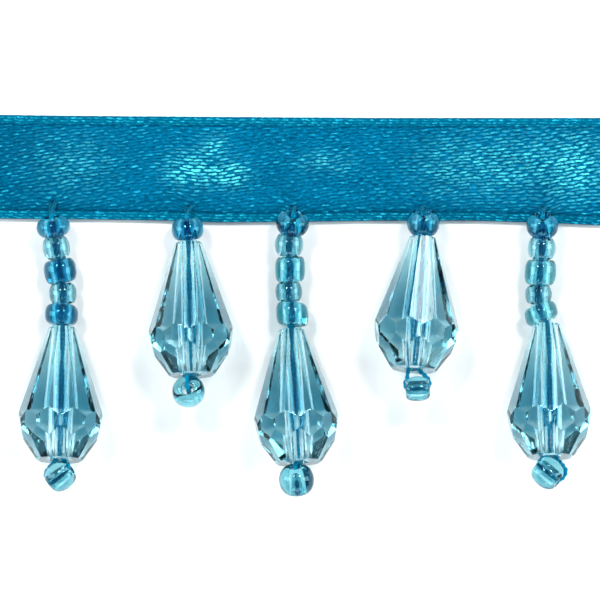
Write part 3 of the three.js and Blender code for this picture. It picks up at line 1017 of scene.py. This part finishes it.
def make_seeds(drop, top, materials):
    """The seed beads of one drop. Returns the places that the thread passes down to the last."""
    seeds = [seed for seed in SEEDS if seed[0] == drop]
    middles = [Vector((seed[2], seed[3], max(seed[4], seed[5] / 2 + FLOOR_GAP))) for seed in seeds]
    _, root_x, root_y = next(hole for hole in HOLES if hole[0] == drop)
    over = ribbon_top(root_x, root_y)
    root = Vector((root_x, root_y, over - ROOT_DEEP))
    rise_at = Vector((root_x, root_y - RISE_BACK, over + RISE_HIGH))
    line = [rise_at, *middles, top]
    for i, (_, kind, _, _, _, wide, long, skew) in enumerate(seeds):
        along = (line[i + 2] - line[i]).normalized()
        if i == 0:
            along = (line[2] - line[1]).normalized()
            along = (along - Vector((0, 0, FIRST_TIP[drop]))).normalized()
            mouth = middles[0] - along * (long / 2)
        make_bead(
            f"seed_bead_{drop}_{i + 1}",
            wide,
            long,
            skew,
            drop * 10 + i,
            SECTION["first" if i == 0 else kind],
            BORE,
            aimed(middles[i], along),
            materials[kind],
            f"seed_{kind}",
            f"seed_{drop}_{i + 1}",
        )
    return [root, rise_at, mouth, *middles]


def make_stop(drop, end, rise, material):
    """The bead turned sideways under a teardrop. Returns its middle and its bore's direction."""
    x, y, turn, tip, wide, long = STOPS[drop]
    reach = ((Vector((x, y, 0)) - Vector((end.x, end.y, 0))).length) / math.cos(rise)
    middle = Vector((x, y, end.z + math.sin(rise) * reach))
    turn, tip = math.radians(turn), math.radians(tip)
    bore = Vector((math.cos(turn) * math.cos(tip), math.sin(turn) * math.cos(tip), math.sin(tip)))
    make_bead(
        f"stop_bead_{drop}",
        wide,
        long,
        0.0,
        drop * 10 + 9,
        SECTION["stop"],
        STOP_BORE,
        aimed(middle, bore),
        material,
        "stop_bead",
        f"stop_{drop}",
    )
    return middle, bore


def strands(passed, across):
    """Two lines wound round each other through the places passed, wider apart near both ends."""
    shared, at = curve_through(passed, STRAND_STEP)
    side, other = frames_along(shared)
    ahead = Vector((1, 0, 0))
    first_angle = math.atan2(float(np.dot(ahead, other[0])), float(np.dot(ahead, side[0])))
    last_angle = math.atan2(float(np.dot(across, other[-1])), float(np.dot(across, side[-1])))
    turns = round((at[-1] / STRAND_TURN) - (last_angle - first_angle) / (2 * math.pi))
    wound = np.clip(at / (at[-1] - UNTWISTED), 0, 1)
    spin = first_angle + (last_angle - first_angle + 2 * math.pi * turns) * wound
    apart = np.clip((at - at[-1] + UNTWISTED) / 1.5, 0, 1) * np.clip((at[-1] - at) / PARTING, 0, 1)
    apart = STRAND_OFF + STRAND_APART * apart + ROOT_APART * np.clip(1 - at / PARTING, 0, 1)
    lines = []
    for a in (spin, spin + math.pi):
        out = np.cos(a)[:, None] * side + np.sin(a)[:, None] * other
        lines.append([Vector(p) for p in shared + apart[:, None] * out])
    return lines


def make_thread(drop, passed, down, middle, bore, material):
    """The doubled thread of one drop, from inside the ribbon to the bore of its stop bead."""
    end = passed[-1] + down * END_AT
    wide, long = STOPS[drop][4:]
    radius = wide / 2
    up = -down
    square = (up - bore * up.dot(bore)).normalized()
    across = (bore - up * bore.dot(up)).normalized()
    parts = []
    for k, strand in enumerate(strands([*passed, end - down * LAST_IN], across)):
        sign = 1 - 2 * k
        # Out of the teardrop, down the bead's side, round its rim and into its bore
        points = strand + [
            end + across * (sign * EXIT_APART),
            middle + bore * (sign * (long / 2 - 0.2)) + square * (radius * 0.86),
            middle + bore * (sign * (long / 2 + 0.02)) + square * (radius * 0.42),
            middle + bore * (sign * (long / 2 - 0.15)) + square * 0.1,
            middle + bore * (sign * 0.05),
        ]
        parts += twisted(points, PLY_PHASE * k)
    places, faces, uvs = joined(parts)
    places = [(p[0], p[1], max(p[2], FLOOR_GAP)) for p in places]
    thread = piece(f"sewing_thread_{drop}", places, faces, material, uvs={"flat": uvs})
    settle(thread, "thread", f"thread_{drop}")


def make_drop(row, body, materials):
    """One drop: its teardrop, seed beads and stop bead, and the thread through them."""
    drop, _, _, lean, rise, _ = row
    down = hanging(lean, rise)
    top = make_teardrop(row, down, body, materials["teardrop"])
    passed = make_seeds(drop, top, materials)
    middle, bore = make_stop(drop, top + down * END_AT, math.radians(rise), materials["stop"])
    make_thread(drop, [*passed, top], down, middle, bore, materials["thread"])


def make_stage():
    """A plain pale sheet of paper just under the part."""
    mesh = bpy.data.meshes.new("studio_floor")
    corners = [(x * FLOOR_HALF, y * FLOOR_HALF, 0) for x, y in ((-1, -1), (1, -1), (1, 1), (-1, 1))]
    mesh.from_pydata(corners, [], [(0, 1, 2, 3)])
    s = Shader("studio_paper")
    grain = s.noise(s.place((0.5, 0.5, 0.5)), 1.0, 2.0)
    s.principled(
        {
            "Base Color": s.mix(grain, PAPER_DARK, PAPER_PALE),
            "Roughness": 0.8,
            "Specular IOR Level": 0.2,
        }
    )
    mesh.materials.append(s.material)
    floor = bpy.data.objects.new("studio_floor", mesh)
    floor.location.z = -FLOOR_BELOW
    bpy.context.collection.objects.link(floor)


def make_light(name, place, wide, high, watts, colour):
    """A soft lamp that faces the part."""
    data = bpy.data.lights.new(name, "AREA")
    data.shape = "RECTANGLE" if high else "DISK"
    data.size = wide
    if high:
        data.size_y = high
    data.energy = watts
    data.color = colour
    lamp = bpy.data.objects.new(name, data)
    lamp.location = place
    lamp.rotation_euler = (-Vector(place)).to_track_quat("-Z", "Y").to_euler()
    bpy.context.collection.objects.link(lamp)


def make_card(drop):
    """A small lamp where the front facet of one drop mirrors it to the camera."""
    _, _, _, lean, rise, roll = TEARDROPS[drop - 1]
    down = hanging(lean, rise)
    turn = aimed(Vector((0, 0, 0)), down, math.radians(roll)).to_3x3()
    facet = turn @ Vector((0, LONG_SLOPE, 1)).normalized()
    mirrored = facet * 2 * facet.z - Vector((0, 0, 1))
    make_light("card", mirrored * CARD_AWAY, CARD_SIZE, None, CARD_POWER, CARD_COLOUR)


def make_camera():
    """A long lens straight above the part, with the photograph's frame."""
    data = bpy.data.cameras.new("photo_view")
    data.sensor_width = SENSOR
    data.lens = SENSOR * (CAMERA_HIGH - FOCUS_HIGH) / (FRAME_WIDE * MM)
    data.clip_start = 0.01
    data.clip_end = 20
    camera = bpy.data.objects.new("photo_view", data)
    middle_y = (ZERO_ROW - PHOTO_MIDDLE) * PIXEL * MM + SHIFT_Y * MM
    camera.location = (0, middle_y, CAMERA_HIGH)
    bpy.context.collection.objects.link(camera)
    bpy.context.scene.camera = camera


def make_world():
    """A dim, even surround."""
    world = bpy.data.worlds.new("studio")
    world.use_nodes = True
    background = world.node_tree.nodes["Background"]
    background.inputs[0].default_value = WORLD_COLOUR
    background.inputs[1].default_value = WORLD_STRENGTH
    bpy.context.scene.world = world
    bpy.context.scene.view_settings.view_transform = "Standard"


make_camera()
make_stage()
for light in LIGHTS:
    make_light(*light)
make_card(CARD_DROP)
make_world()

materials = {
    "teardrop": glass("clear_acrylic", *TEARDROP_LOOK, ACRYLIC_IOR, shade_bands=ACRYLIC_SHADE_BANDS),
    "deep": glass("deep_glass", *DEEP_LOOK, GLASS_IOR, DEEP_GLOSS),
    "mid": glass("mid_glass", *MID_LOOK, GLASS_IOR),
    "light": glass("light_glass", *LIGHT_LOOK, GLASS_IOR),
    "clear": glass("clear_glass", *CLEAR_LOOK, GLASS_IOR),
    "stop": glass("stop_glass", *STOP_LOOK, GLASS_IOR),
    "thread": thread_material(),
}
make_ribbon(satin_material())
shape = teardrop_mesh()
for row in TEARDROPS:
    make_drop(row, shape, materials)
